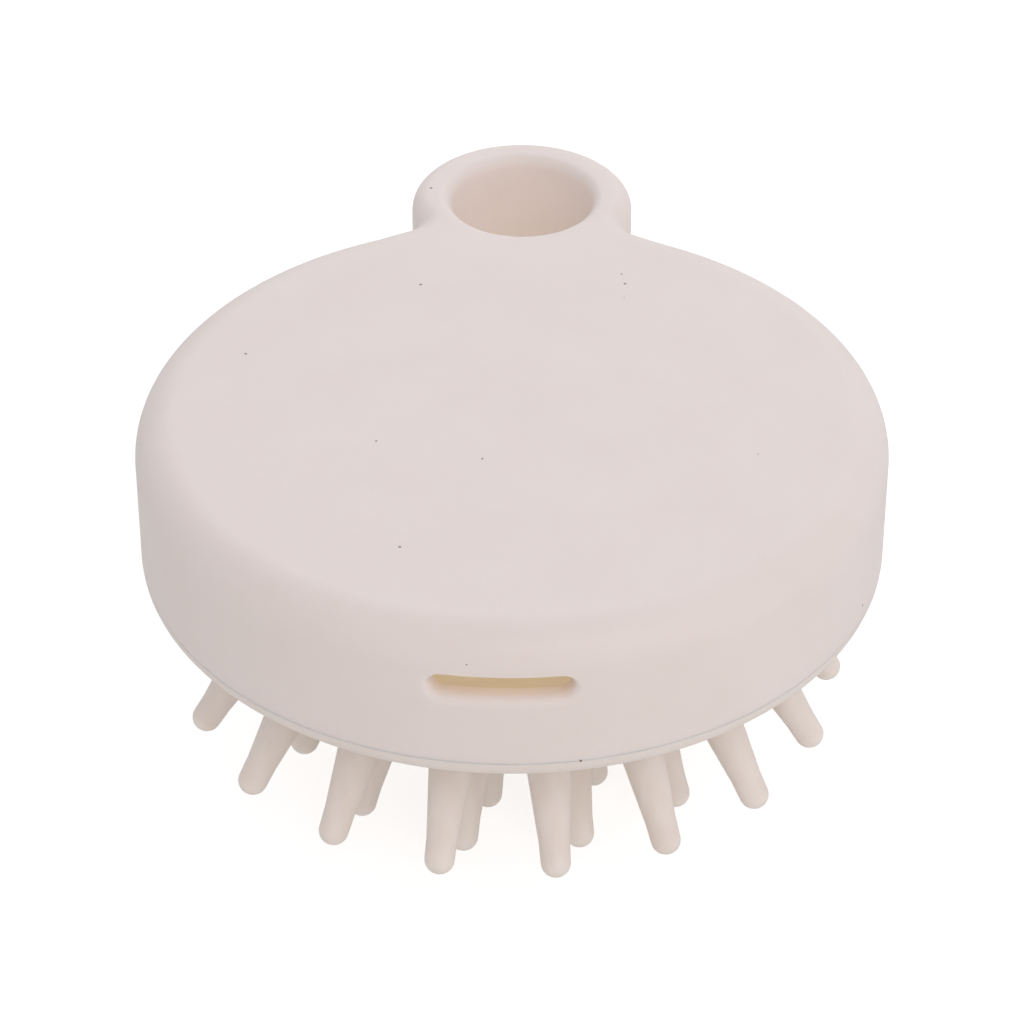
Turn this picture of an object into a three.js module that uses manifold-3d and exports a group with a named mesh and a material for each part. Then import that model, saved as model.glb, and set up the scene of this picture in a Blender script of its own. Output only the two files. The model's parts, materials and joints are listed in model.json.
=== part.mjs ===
// Scalp massager brush: a hollow palm-sized handle with a finger ring and a drain slot, closed from below by a
// soft domed pad that carries 37 tapered pins. Every pin stands square on the dome, so the pins fan outwards, and
// each one rocks about a pivot just outside the pad, where the soft root bends on the real brush.
//
// Units are millimetres and +Z is up. The pieces are built about the centre of the flat top face, with the ring
// towards +Y and the drain slot towards -Y. The exported group then stands them on the floor, on the tip of the
// centre pin, with the origin in the middle of the brush's outline.

import * as THREE from "three";
import { mergeVertices } from "three/addons/utils/BufferGeometryUtils.js";
import Module from "manifold-3d";

// ---- Driving dimensions ----------------------------------------------------------------------------------------

// Handle: the disc, with the base ring under it.
const DISC_RADIUS = 38;
const BODY_HEIGHT = 17; // shell and base ring together
const WALL = 2.2;
const CEILING = 2.6;
const TOP_FILLET = 4;
const CEILING_FILLET = 1.6;

// Finger ring on the +Y side.
const BORE_RADIUS = 7.75;
const RING_WALL = 4.25; // from the bore to the outside of the ring
const RING_FILLET = 1.8; // outer top edge of the ring
const BORE_LIP = 1.3; // rounding where the bore meets the top face
const BORE_INSET = 4.25; // how far the bore reaches inside the edge of the disc
const BOSS_WALL = 2; // wall round the bore inside the hollow

// Drain slot on the -Y side.
const SLOT_WIDTH = 14;
const SLOT_HEIGHT = 2.6;
const SLOT_EDGE = 0.5; // straight wall left between the top fillet and the slot

// Ribs inside the shell that hold the edge of the pad down.
const RIB_COUNT = 12;
const RIB_THICKNESS = 1.2;
const RIB_DEPTH = 3;

// Base ring: a flat band with an upstand that snaps into the shell.
const BASE_HEIGHT = 2.1;
const BASE_FILLET = 2;
const BORE_LAND = 2.25; // least width of the band, between the bore and the opening for the pad
const UPSTAND_WALL = 1.2;
const SNAP_DEPTH = 0.4;
const SNAP_HEIGHT = 1.4;

// Pad: a domed cap with a flat flange.
const PAD_RADIUS = 44; // outer radius of the dome
const PAD_WEB = 0.7; // skin left behind each pin root
const FLANGE_THICKNESS = 2;

// Pins, measured along their own axis from the pivot.
const PIN_ROWS = [
  { name: "center_pin", count: 1 },
  { name: "inner_pin", count: 6 },
  { name: "middle_pin", count: 12 },
  { name: "outer_pin", count: 18 },
];
const PIN_TURN = -11; // degrees from -Y towards +X to the first pin of each row
const PIN_ROOT_RADIUS = 2.6;
const PIN_TIP_RADIUS = 1.5;
const PIN_LENGTH = 15; // pivot to the very end
const PIN_NOSE = 3.5; // straight round-ended nose at the end of the cone
const PIN_SHOULDER = 0.05; // how much wider than the nose the cone ends
const PIVOT_HEIGHT = 1; // pivot above the surface of the dome
const PIN_MARGIN = 5.6; // from the pivots of the outer row to the edge of the dome

// Fits.
const CLEARANCE = 0.3; // between pieces that seat in or on each other
const SEAM = 0.15; // visible parting line between the shell and the base ring
const PAD_SIDE_GAP = 0.5; // round the dome, in the opening of the base ring

// Fineness of round shapes.
const DISC_SEGMENTS = 48;
const RING_SEGMENTS = 28;
const DOME_SEGMENTS = 36;
const DOME_STEPS = 5;
const PIN_SEGMENTS = 10;
const SOCKET_STEPS = 6;
const ROOT_STEPS = 3;
const NOSE_STEPS = 2;
const FILLET_STEPS = 3;

// ---- Sizes that follow -----------------------------------------------------------------------------------------

const RING_RADIUS = BORE_RADIUS + RING_WALL;
const RING_DISTANCE = DISC_RADIUS + BORE_RADIUS - BORE_INSET;
const BOSS_RADIUS = BORE_RADIUS + BOSS_WALL;
const INNER_RADIUS = DISC_RADIUS - WALL;
const OPENING_RADIUS = DISC_RADIUS - BORE_INSET - BORE_LAND;

const FLOOR_Z = -BODY_HEIGHT; // underside of the base ring
const BASE_TOP = FLOOR_Z + BASE_HEIGHT;
const SHELL_BOTTOM = BASE_TOP + SEAM;
const FLANGE_BOTTOM = BASE_TOP + CLEARANCE;
const FLANGE_TOP = FLANGE_BOTTOM + FLANGE_THICKNESS;
const RIB_BOTTOM = FLANGE_TOP + CLEARANCE;

const UPSTAND_RADIUS = INNER_RADIUS - CLEARANCE;
const UPSTAND_INSIDE = UPSTAND_RADIUS - UPSTAND_WALL;
const FLANGE_RADIUS = UPSTAND_INSIDE - CLEARANCE;
const SNAP_MIDDLE = (BASE_TOP + FLANGE_TOP) / 2;

const PAD_EDGE_RADIUS = OPENING_RADIUS - PAD_SIDE_GAP;
const SOCKET_RADIUS = PIN_ROOT_RADIUS + CLEARANCE;
const PAD_INSIDE_RADIUS = PAD_RADIUS + PIVOT_HEIGHT - SOCKET_RADIUS - PAD_WEB;
const FAN_Z = FLANGE_BOTTOM + Math.sqrt(PAD_RADIUS ** 2 - PAD_EDGE_RADIUS ** 2); // centre of the dome
const PIVOT_RADIUS = PAD_RADIUS + PIVOT_HEIGHT; // from that centre to every pivot
const OUTER_ANGLE = Math.asin((PAD_EDGE_RADIUS - PIN_MARGIN) / PIVOT_RADIUS);
const ROW_ANGLE = OUTER_ANGLE / (PIN_ROWS.length - 1);

const STANDING_HEIGHT = PIVOT_RADIUS + PIN_LENGTH - FAN_Z; // from the end of the centre pin to the top face
const OUTLINE_MIDDLE = (RING_DISTANCE + RING_RADIUS - DISC_RADIUS) / 2;
const BEYOND = 1; // how far a cutter runs past the face it opens

// ---- Solids ----------------------------------------------------------------------------------------------------

const wasm = await Module();
wasm.setup();

// Turns a closed geometry into a solid that can be joined and cut.
function solid(geometry) {
  const plain = geometry.clone();
  plain.deleteAttribute("normal");
  plain.deleteAttribute("uv");
  const merged = mergeVertices(plain, 1e-4);
  return new wasm.Manifold(
    new wasm.Mesh({
      numProp: 3,
      vertProperties: new Float32Array(merged.attributes.position.array),
      triVerts: new Uint32Array(merged.index.array),
    }),
  );
}

// Turns a solid back into a geometry.
function geometryOf(body) {
  const mesh = body.getMesh();
  const geometry = new THREE.BufferGeometry();
  geometry.setAttribute("position", new THREE.BufferAttribute(mesh.vertProperties, 3));
  geometry.setIndex(new THREE.BufferAttribute(mesh.triVerts, 1));
  geometry.computeVertexNormals();
  return geometry;
}

// A profile of [radius, height] points, listed upwards on its outside, turned about the Z axis.
function turned(profile, segments) {
  const points = profile.map(([radius, height]) => new THREE.Vector2(radius, height));
  return new THREE.LatheGeometry(points, segments).rotateX(Math.PI / 2);
}

// Points along an arc about [radius, height], with both ends, in degrees from the outward direction.
function arc(radius, height, size, from, to, steps = FILLET_STEPS) {
  return Array.from({ length: steps + 1 }, (_, i) => {
    const angle = THREE.MathUtils.degToRad(from + ((to - from) * i) / steps);
    return [radius + size * Math.cos(angle), height + size * Math.sin(angle)];
  });
}

// A solid cylinder about the Z axis.
function cylinder(radius, bottom, top, segments) {
  return turned([[0, bottom], [radius, bottom], [radius, top], [0, top]], segments);
}

function onRingAxis(geometry) {
  return geometry.translate(0, RING_DISTANCE, 0);
}

// ---- Handle shell ----------------------------------------------------------------------------------------------

// A drum with a rounded top edge, from bottom up to the top face.
function roundedDrum(radius, fillet, bottom, segments) {
  const edge = arc(radius - fillet, -fillet, fillet, 0, 90);
  return turned([[0, bottom], [radius, bottom], ...edge, [0, 0]], segments);
}

// The hollow under the ceiling, with the groove that the base ring snaps into.
function shellHollow() {
  const grooveHalf = SNAP_HEIGHT / 2 + CLEARANCE;
  const ceilingEdge = arc(INNER_RADIUS - CEILING_FILLET, -CEILING - CEILING_FILLET, CEILING_FILLET, 0, 90);
  return turned([
    [0, SHELL_BOTTOM - BEYOND],
    [INNER_RADIUS, SHELL_BOTTOM - BEYOND],
    [INNER_RADIUS, SNAP_MIDDLE - grooveHalf],
    [INNER_RADIUS + SNAP_DEPTH, SNAP_MIDDLE],
    [INNER_RADIUS, SNAP_MIDDLE + grooveHalf],
    ...ceilingEdge,
    [0, -CEILING],
  ], DISC_SEGMENTS);
}

// The bore of the ring, opening out to its rounded lip at the top face.
function boreCutter() {
  const lip = arc(BORE_RADIUS + BORE_LIP, -BORE_LIP, BORE_LIP, 180, 90);
  return onRingAxis(turned([
    [0, FLOOR_Z - BEYOND],
    [BORE_RADIUS, FLOOR_Z - BEYOND],
    ...lip,
    [BORE_RADIUS + BORE_LIP, BEYOND],
    [0, BEYOND],
  ], RING_SEGMENTS));
}

// A round-ended slot that runs straight through the front wall.
function slotCutter() {
  const half = (SLOT_WIDTH - SLOT_HEIGHT) / 2;
  const end = SLOT_HEIGHT / 2;
  const outline = new THREE.Shape();
  outline.absarc(half, 0, end, -Math.PI / 2, Math.PI / 2, false);
  outline.absarc(-half, 0, end, Math.PI / 2, (3 * Math.PI) / 2, false);
  const innerEnd = INNER_RADIUS - RIB_DEPTH;
  const depth = DISC_RADIUS + BEYOND - innerEnd;
  const cutter = new THREE.ExtrudeGeometry(outline, { depth, bevelEnabled: false, curveSegments: 6 });
  cutter.rotateX(Math.PI / 2);
  return cutter.translate(0, -innerEnd, -TOP_FILLET - SLOT_EDGE - end);
}

// One rib, standing out of the wall at an angle from -Y towards +X.
function rib(angle) {
  const root = INNER_RADIUS + WALL / 2;
  const inner = INNER_RADIUS - RIB_DEPTH;
  const top = -CEILING / 2;
  const height = top - RIB_BOTTOM;
  const block = new THREE.BoxGeometry(RIB_THICKNESS, root - inner, height);
  block.translate(0, -(root + inner) / 2, RIB_BOTTOM + height / 2);
  return block.rotateZ(angle);
}

function handleShell() {
  const boss = onRingAxis(cylinder(BOSS_RADIUS, SHELL_BOTTOM - 2 * BEYOND, BEYOND, RING_SEGMENTS));
  const hollow = solid(shellHollow()).subtract(solid(boss));
  let shell = solid(roundedDrum(DISC_RADIUS, TOP_FILLET, SHELL_BOTTOM, DISC_SEGMENTS));
  shell = shell.add(solid(onRingAxis(roundedDrum(RING_RADIUS, RING_FILLET, SHELL_BOTTOM, RING_SEGMENTS))));
  shell = shell.subtract(hollow);
  for (let i = 0; i < RIB_COUNT; i += 1) {
    shell = shell.add(solid(rib(((i + 0.5) * 2 * Math.PI) / RIB_COUNT)));
  }
  return geometryOf(shell.subtract(solid(boreCutter())).subtract(solid(slotCutter())));
}

// ---- Base ring -------------------------------------------------------------------------------------------------

// A flat plate with a rounded lower edge.
function basePlate(radius, segments) {
  const edge = arc(radius - BASE_FILLET, FLOOR_Z + BASE_FILLET, BASE_FILLET, -90, 0);
  return turned([[0, FLOOR_Z], ...edge, [radius, BASE_TOP], [0, BASE_TOP]], segments);
}

// The upstand with its snap bead, as a closed ring that is sunk a little into the plate.
function upstand() {
  const foot = BASE_TOP - BASE_HEIGHT / 2;
  return turned([
    [UPSTAND_INSIDE, foot],
    [UPSTAND_RADIUS, foot],
    [UPSTAND_RADIUS, SNAP_MIDDLE - SNAP_HEIGHT / 2],
    [UPSTAND_RADIUS + SNAP_DEPTH, SNAP_MIDDLE],
    [UPSTAND_RADIUS, SNAP_MIDDLE + SNAP_HEIGHT / 2],
    [UPSTAND_RADIUS, FLANGE_TOP],
    [UPSTAND_INSIDE, FLANGE_TOP],
    [UPSTAND_INSIDE, foot],
  ], DISC_SEGMENTS);
}

// The room that the boss of the shell takes, with its clearance, from a height upwards.
function bossRoom(bottom) {
  return solid(onRingAxis(cylinder(BOSS_RADIUS + CLEARANCE, bottom, BEYOND, RING_SEGMENTS)));
}

function baseRing() {
  const opening = cylinder(OPENING_RADIUS, FLOOR_Z - BEYOND, BEYOND, DISC_SEGMENTS);
  const wall = solid(upstand()).subtract(bossRoom(BASE_TOP));
  return geometryOf(
    solid(basePlate(DISC_RADIUS, DISC_SEGMENTS))
      .add(solid(onRingAxis(basePlate(RING_RADIUS, RING_SEGMENTS))))
      .add(wall)
      .subtract(solid(opening))
      .subtract(solid(boreCutter())),
  );
}

// ---- Pins ------------------------------------------------------------------------------------------------------

// Every pin: its name, the direction it points from the centre of the dome, and its pivot.
function pinPlaces() {
  return PIN_ROWS.flatMap(({ name, count }, row) =>
    Array.from({ length: count }, (_, i) => {
      const lean = row * ROW_ANGLE;
      const around = THREE.MathUtils.degToRad(PIN_TURN) + (i * 2 * Math.PI) / count;
      const direction = new THREE.Vector3(
        Math.sin(lean) * Math.sin(around),
        -Math.sin(lean) * Math.cos(around),
        -Math.cos(lean),
      );
      const pivot = direction.clone().multiplyScalar(PIVOT_RADIUS);
      pivot.z += FAN_Z;
      return { name: count > 1 ? `${name}_${i + 1}` : name, direction, pivot };
    }),
  );
}

// One pin along +Z from its pivot at the origin: a ball root, a cone and a round-ended nose.
function pinGeometry() {
  const root = arc(0, 0, PIN_ROOT_RADIUS, -90, 0, ROOT_STEPS);
  const end = arc(0, PIN_LENGTH - PIN_TIP_RADIUS, PIN_TIP_RADIUS, 0, 90, NOSE_STEPS);
  return turned([
    ...root,
    [PIN_TIP_RADIUS + PIN_SHOULDER, PIN_LENGTH - PIN_NOSE],
    ...end,
  ], PIN_SEGMENTS);
}

// ---- Pad -------------------------------------------------------------------------------------------------------

// The angle from straight down, at the centre of the dome, of a point of a sphere at a height.
function angleAt(radius, height) {
  return THREE.MathUtils.radToDeg(Math.acos((FAN_Z - height) / radius));
}

function pinPad() {
  const outside = arc(0, FAN_Z, PAD_RADIUS, -90, angleAt(PAD_RADIUS, FLANGE_BOTTOM) - 90, DOME_STEPS);
  const inside = arc(0, FAN_Z, PAD_INSIDE_RADIUS, angleAt(PAD_INSIDE_RADIUS, FLANGE_TOP) - 90, -90, DOME_STEPS);
  const flange = [[FLANGE_RADIUS, FLANGE_BOTTOM], [FLANGE_RADIUS, FLANGE_TOP]];
  const cap = solid(turned([...outside, ...flange, ...inside], DOME_SEGMENTS));
  const ball = turned(arc(0, 0, SOCKET_RADIUS, -90, 90, SOCKET_STEPS), PIN_SEGMENTS);
  return geometryOf(
    pinPlaces().reduce((pad, { pivot, direction }) => {
      const socket = ball.clone().applyQuaternion(along(direction)).translate(pivot.x, pivot.y, pivot.z);
      return pad.subtract(solid(socket));
    }, cap.subtract(bossRoom(FLOOR_Z))),
  );
}

// The turn that carries +Z to a direction.
function along(direction) {
  return new THREE.Quaternion().setFromUnitVectors(new THREE.Vector3(0, 0, 1), direction);
}

// ---- Assembly --------------------------------------------------------------------------------------------------

const MATT_SHELL = { color: 0xded4d2, roughness: 0.62, metalness: 0 };
const MATT_BASE = { color: 0xdad0c9, roughness: 0.58, metalness: 0 };
const SOFT_PAD = { color: 0xcbbda6, roughness: 0.42, metalness: 0 };
const SOFT_PIN = { color: 0xd2c6b8, roughness: 0.36, metalness: 0 };

function piece(name, geometry, finish) {
  const mesh = new THREE.Mesh(geometry, new THREE.MeshStandardMaterial(finish));
  mesh.name = name;
  return mesh;
}

const group = new THREE.Group();
group.position.set(0, -OUTLINE_MIDDLE, STANDING_HEIGHT);
group.add(piece("handle_shell", handleShell(), MATT_SHELL));
group.add(piece("base_ring", baseRing(), MATT_BASE));
group.add(piece("pin_pad", pinPad(), SOFT_PAD));
for (const { name, direction, pivot } of pinPlaces()) {
  const pin = piece(name, pinGeometry(), SOFT_PIN);
  pin.position.copy(pivot);
  pin.quaternion.copy(along(direction));
  group.add(pin);
}

export default group;
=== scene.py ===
# %% [markdown]
# # A scalp massager brush
# The brush is a hollow, palm-sized handle moulded in a fine matt plastic, closed from below by a soft domed
# pad that carries 37 tapered pins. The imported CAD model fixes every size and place, so the first step loads
# it. Everything after that is a finer skin for the same pieces, worked out in millimetres and stored in
# metres.

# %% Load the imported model
import json

import bmesh
import bpy
import numpy as np
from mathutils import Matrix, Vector
from mathutils.geometry import delaunay_2d_cdt


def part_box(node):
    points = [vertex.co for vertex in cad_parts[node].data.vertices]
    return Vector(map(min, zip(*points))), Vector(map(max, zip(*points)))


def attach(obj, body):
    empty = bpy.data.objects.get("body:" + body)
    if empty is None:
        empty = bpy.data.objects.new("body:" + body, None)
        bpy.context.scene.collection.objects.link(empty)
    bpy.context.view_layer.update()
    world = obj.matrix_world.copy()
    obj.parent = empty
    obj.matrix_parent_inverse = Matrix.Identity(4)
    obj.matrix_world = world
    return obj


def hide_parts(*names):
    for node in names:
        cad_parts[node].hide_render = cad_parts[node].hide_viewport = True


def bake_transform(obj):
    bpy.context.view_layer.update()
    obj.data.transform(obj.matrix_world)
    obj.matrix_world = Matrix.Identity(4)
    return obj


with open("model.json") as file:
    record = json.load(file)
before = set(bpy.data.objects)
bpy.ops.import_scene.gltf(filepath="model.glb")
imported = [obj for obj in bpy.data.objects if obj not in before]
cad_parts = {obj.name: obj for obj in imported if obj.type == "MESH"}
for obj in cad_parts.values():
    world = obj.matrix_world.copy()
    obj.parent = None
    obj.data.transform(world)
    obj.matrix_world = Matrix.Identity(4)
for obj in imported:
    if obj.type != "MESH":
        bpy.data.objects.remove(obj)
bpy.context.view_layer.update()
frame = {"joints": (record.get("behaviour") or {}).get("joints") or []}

MM = 0.001

# %% [markdown]
# ## Sizes
# The outer sizes come from the boxes of the CAD nodes. The small ones that a box can't tell, such as a wall
# or a fillet, are the designer's own values, written once here.

# %% Read the main sizes off the frame


def box_mm(node):
    """The lowest and the highest corner of a CAD node, in millimetres."""
    low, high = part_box(node)
    return np.array(low) / MM, np.array(high) / MM


shell_low, shell_high = box_mm("handle_shell")
base_low = box_mm("base_ring")[0]
pad_high = box_mm("pin_pad")[1]

DISC_RADIUS = (shell_high[0] - shell_low[0]) / 2
DISC_AXIS = np.array([0.0, shell_low[1] + DISC_RADIUS])
TOP_Z = shell_high[2]
UNDERSIDE_Z = base_low[2]

RING_RADIUS = 12.0
BORE_RADIUS = 7.75
RING_AXIS = np.array([0.0, shell_high[1] - RING_RADIUS])
RING_DISTANCE = RING_AXIS[1] - DISC_AXIS[1]
print("disc radius", round(DISC_RADIUS, 2), "height of the body", round(TOP_Z - UNDERSIDE_Z, 2))

# %% Name the small sizes of the handle
WALL = 2.2
CEILING = 2.6
TOP_FILLET = 4.0
RING_FILLET = 1.8
CEILING_FILLET = 1.6
JUNCTION_FILLET = 1.5  # in the corners where the finger ring grows out of the disc
FILLET_CHANGE = 6.0  # half the stretch of outline over which the top fillet narrows towards the ring
BORE_LIP = 1.3
BOSS_WALL = 2.0
INNER_RADIUS = DISC_RADIUS - WALL
BOSS_RADIUS = BORE_RADIUS + BOSS_WALL

SLOT_WIDTH = 14.0
SLOT_HEIGHT = 2.6
SLOT_UNDER_FILLET = 0.5  # straight wall left between the top fillet and the slot
SLOT_LIPS = (1.0, 0.75, 0.25)  # rounding of the slot's outer edge below, at its ends and above
SLOT_INNER_EDGE = 0.3
SLOT_Z = TOP_Z - TOP_FILLET - SLOT_UNDER_FILLET - SLOT_HEIGHT / 2

RIB_COUNT = 12
RIB_THICKNESS = 1.2
RIB_DEPTH = 3.0

SEAM = 0.15  # the gap that the CAD model leaves between the shell and the base ring
SEAM_Z = shell_low[2] - SEAM / 2  # middle of the parting line
SEAM_GAP = 0.005  # drawn gap: the two pieces are snapped tightly together, so only a hairline shows
SEAM_EDGE = 0.022
SHELL_BOTTOM = SEAM_Z + SEAM_GAP / 2
BASE_TOP = SEAM_Z - SEAM_GAP / 2
BASE_FILLET = 2.0

# %% [markdown]
# ## From arrays to a mesh
# Each piece is a handful of surfaces, every one an array of points on a grid of rows and columns. One
# helper numbers the quads of such a grid. Another joins the surfaces of a piece into one closed mesh: it
# merges the points that neighbouring surfaces share, turns all faces outwards and counts any edge that is
# left open.

# %% Helpers for grids and meshes
MERGE_DISTANCE = 0.002  # mm
SHARP_ANGLE = np.radians(42)


def grid_faces(rows, columns, closed=True):
    """Corner numbers of the quads between neighbouring rows and columns, as an array of rows by columns by
    4. A closed grid also joins its last column to its first."""
    corner = np.arange(rows * columns).reshape(rows, columns)
    beside = np.roll(corner, -1, axis=1)
    if not closed:
        corner, beside = corner[:, :-1], beside[:, :-1]
    return np.stack([corner[:-1], beside[:-1], beside[1:], corner[1:]], axis=-1)


def surface(points, closed=True, keep=None):
    """One surface of a piece: its points as a flat list and its quads. keep is a mask of the quads to
    keep."""
    rows, columns = points.shape[:2]
    faces = grid_faces(rows, columns, closed)
    faces = faces.reshape(-1, 4) if keep is None else faces[keep]
    return points.reshape(-1, 3), faces.tolist()


def closing_cap(loop):
    """A fan of triangles from a loop of points to its middle point, which closes a pole."""
    middle = loop.mean(axis=0)
    count = len(loop)
    here = np.arange(count)
    fan = np.stack([here, np.roll(here, -1), np.full(count, count)], axis=1)
    return np.vstack([loop, middle]), fan.tolist()


def joined(name, surfaces, finish):
    """One object from several surfaces in millimetres, closed where they meet, with its faces outwards."""
    starts = np.cumsum([0] + [len(points) for points, _ in surfaces])
    points = np.vstack([points for points, _ in surfaces])
    faces = [
        [corner + start for corner in face]
        for start, (_, patch) in zip(starts.tolist(), surfaces)
        for face in patch
    ]
    mesh = bpy.data.meshes.new(name)
    mesh.from_pydata(points.tolist(), [], faces)
    work = bmesh.new()
    work.from_mesh(mesh)
    bmesh.ops.remove_doubles(work, verts=work.verts, dist=MERGE_DISTANCE)
    bmesh.ops.recalc_face_normals(work, faces=work.faces)
    bmesh.ops.scale(work, verts=work.verts, vec=(MM, MM, MM))
    work.to_mesh(mesh)
    work.free()
    mesh.shade_smooth()
    mesh.set_sharp_from_angle(angle=SHARP_ANGLE)
    mesh.materials.append(finish)
    piece = bpy.data.objects.new(name, mesh)
    bpy.context.scene.collection.objects.link(piece)
    print(f"{name}: {len(mesh.polygons)} faces, {open_edges(mesh)} open edges")
    return piece


def open_edges(mesh):
    """How many edges don't have exactly two faces: none, on a closed piece."""
    edge_numbers = np.empty(len(mesh.loops), np.int32)
    mesh.loops.foreach_get("edge_index", edge_numbers)
    return int(np.count_nonzero(np.bincount(edge_numbers, minlength=len(mesh.edges)) != 2))


# %% [markdown]
# A flat face with holes in it, such as the top of the handle with the bore, has no natural grid. There the
# points along its edges and an even field of points inside it are joined by a Delaunay triangulation, which
# avoids thin triangles.

# %% Helper for flat faces with holes
FIELD_SPACING = 2.2  # mm between the points inside a flat face
SAME_POINT = 1e-7


def within(points, loop):
    """Whether each point lies inside a closed loop: a line from it towards +X crosses the loop an odd
    number of times."""
    here, there = loop[None], np.roll(loop, -1, axis=0)[None]
    x, y = points[:, None, 0], points[:, None, 1]
    spans = (here[..., 1] > y) != (there[..., 1] > y)
    rise = np.where(spans, there[..., 1] - here[..., 1], 1.0)
    crossing = here[..., 0] + (y - here[..., 1]) * (there[..., 0] - here[..., 0]) / rise
    return np.count_nonzero(spans & (crossing > x), axis=1) % 2 == 1


def flat_face(loops, height, inside=None, spacing=FIELD_SPACING):
    """Triangles that fill a flat outline. The first loop is the outline, the others are holes in it.
    inside(points) says which points of an even field, with that spacing, lie within the face."""
    if inside is None:
        field = np.zeros((0, 2))
    else:
        low, high = loops[0].min(axis=0), loops[0].max(axis=0)
        across = np.arange(low[0], high[0], spacing)
        along = np.arange(low[1], high[1], spacing * np.sqrt(3) / 2)
        x, y = np.meshgrid(across, along)
        x[1::2] += spacing / 2
        field = np.stack([x.ravel(), y.ravel()], axis=1)
        field = field[inside(field)]
    points = np.vstack([*loops, field])
    starts = np.cumsum([0] + [len(loop) for loop in loops[:-1]])
    edges = [
        (start + i, start + (i + 1) % len(loop))
        for start, loop in zip(starts.tolist(), loops)
        for i in range(len(loop))
    ]
    every_triangle = 0
    found = delaunay_2d_cdt([Vector(p) for p in points], edges, [], every_triangle, SAME_POINT)
    flat = np.array(found[0], float)
    triangles = np.array(found[2])
    middles = flat[triangles].mean(axis=1)
    wanted = within(middles, loops[0])
    for hole in loops[1:]:
        wanted &= ~within(middles, hole)
    return np.column_stack([flat, np.full(len(flat), height)]), triangles[wanted].tolist()


def circle(centre, radius, count):
    """Points evenly spaced round a circle."""
    turn = np.linspace(0, 2 * np.pi, count, endpoint=False)
    return centre + radius * np.stack([np.cos(turn), np.sin(turn)], axis=1)


def smoothstep(share):
    """0 before 0, 1 after 1, and 3s^2 - 2s^3 in between, which starts and ends level."""
    share = np.clip(share, 0, 1)
    return share * share * (3 - 2 * share)


def at_height(flat, heights):
    """Points (rows, columns, 2) put at a height for each row or each point."""
    z = np.broadcast_to(np.asarray(heights, float), flat.shape[:2])
    return np.concatenate([flat, z[..., None]], axis=-1)


# %% [markdown]
# ## The outline of the handle
# Seen from above, the handle is a disc with a smaller ring growing out of its back edge, and a small hollow
# fillet in each corner between them. The outline is one closed row of points on arcs, each with the
# direction that points out of the handle. Both the shell and the base ring are this outline carried up and
# down, moved inwards to make the rounded edges, so the two pieces line up exactly.

# %% Work out the outline
FRONT_ANGLE = np.radians(13.5)  # half of the stretch of wall that holds the slot
FRONT_COLUMNS = 16  # columns of points on each side of the slot's middle
SIDE_STEP = np.radians(1.0)
FILLET_COLUMNS = 10
RING_STEP = np.radians(3.0)


def arc(centre, radius, start, end, step):
    """Points and outward directions from one angle towards another, leaving out the last."""
    count = max(1, int(round(abs(end - start) / step)))
    angle = start + (end - start) * np.arange(count) / count
    direction = np.stack([np.cos(angle), np.sin(angle)], axis=1)
    return np.array(centre) + radius * direction, direction


def junction():
    """Centre of the corner fillet on the +X side, seen from the disc axis. It is one fillet radius outside
    both circles, so the law of cosines gives its angle from +Y."""
    far = DISC_RADIUS + JUNCTION_FILLET
    near = RING_RADIUS + JUNCTION_FILLET
    cosine = (far**2 + RING_DISTANCE**2 - near**2) / (2 * far * RING_DISTANCE)
    angle = np.arccos(cosine)
    return far * np.array([np.sin(angle), np.cos(angle)])


def outline():
    """The closed outline about the disc axis: points, outward directions and the radius of the top fillet
    at each. The +X half is made of arcs from the front to the back, and the -X half is its mirror image."""
    front = -np.pi / 2
    corner = junction()
    ring = np.array([0.0, RING_DISTANCE])
    leaves_disc = np.arctan2(corner[1], corner[0])
    to_disc = leaves_disc + np.pi
    to_ring = np.arctan2(*(ring - corner)[::-1])
    joins_ring = np.arctan2(*(corner - ring)[::-1])
    pieces = [
        arc((0, 0), DISC_RADIUS, front, front + FRONT_ANGLE, FRONT_ANGLE / FRONT_COLUMNS),
        arc((0, 0), DISC_RADIUS, front + FRONT_ANGLE, leaves_disc, SIDE_STEP),
        arc(corner, JUNCTION_FILLET, to_disc, to_ring, abs(to_ring - to_disc) / FILLET_COLUMNS),
        arc(ring, RING_RADIUS, joins_ring, np.pi / 2, RING_STEP),
    ]
    pieces[2] = (pieces[2][0], -pieces[2][1])
    last = ring + (0, RING_RADIUS)
    points = np.vstack([part for part, _ in pieces] + [last])
    outward = np.vstack([part for _, part in pieces] + [(0, 1)])
    length = np.concatenate([[0], np.cumsum(np.linalg.norm(np.diff(points, axis=0), axis=1))])
    middle = length[sum(len(part) for part, _ in pieces[:2]) + FILLET_COLUMNS // 2]
    share = smoothstep((length - middle + FILLET_CHANGE) / (2 * FILLET_CHANGE))
    fillet = TOP_FILLET + (RING_FILLET - TOP_FILLET) * share
    mirror = np.array([-1, 1])
    points = np.vstack([points, (points * mirror)[-2:0:-1]])
    outward = np.vstack([outward, (outward * mirror)[-2:0:-1]])
    fillet = np.concatenate([fillet, fillet[-2:0:-1]])
    start_at_window = [np.roll(part, FRONT_COLUMNS, axis=0) for part in (points, outward, fillet)]
    start_at_window[0] = start_at_window[0] + DISC_AXIS
    return start_at_window


edge, outward, top_fillet = outline()
print("points on the outline:", len(edge), "across the ring:", round(edge[:, 1].max() - edge[:, 1].min(), 2))


def moved_in(inset):
    """The outline moved inwards: each point minus its outward direction times the inset, one row for
    each."""
    inset = np.atleast_2d(np.asarray(inset, float))
    if inset.shape[1] != len(edge):
        inset = np.repeat(inset.reshape(-1, 1), len(edge), axis=1)
    return edge[None] - inset[..., None] * outward[None]


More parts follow.
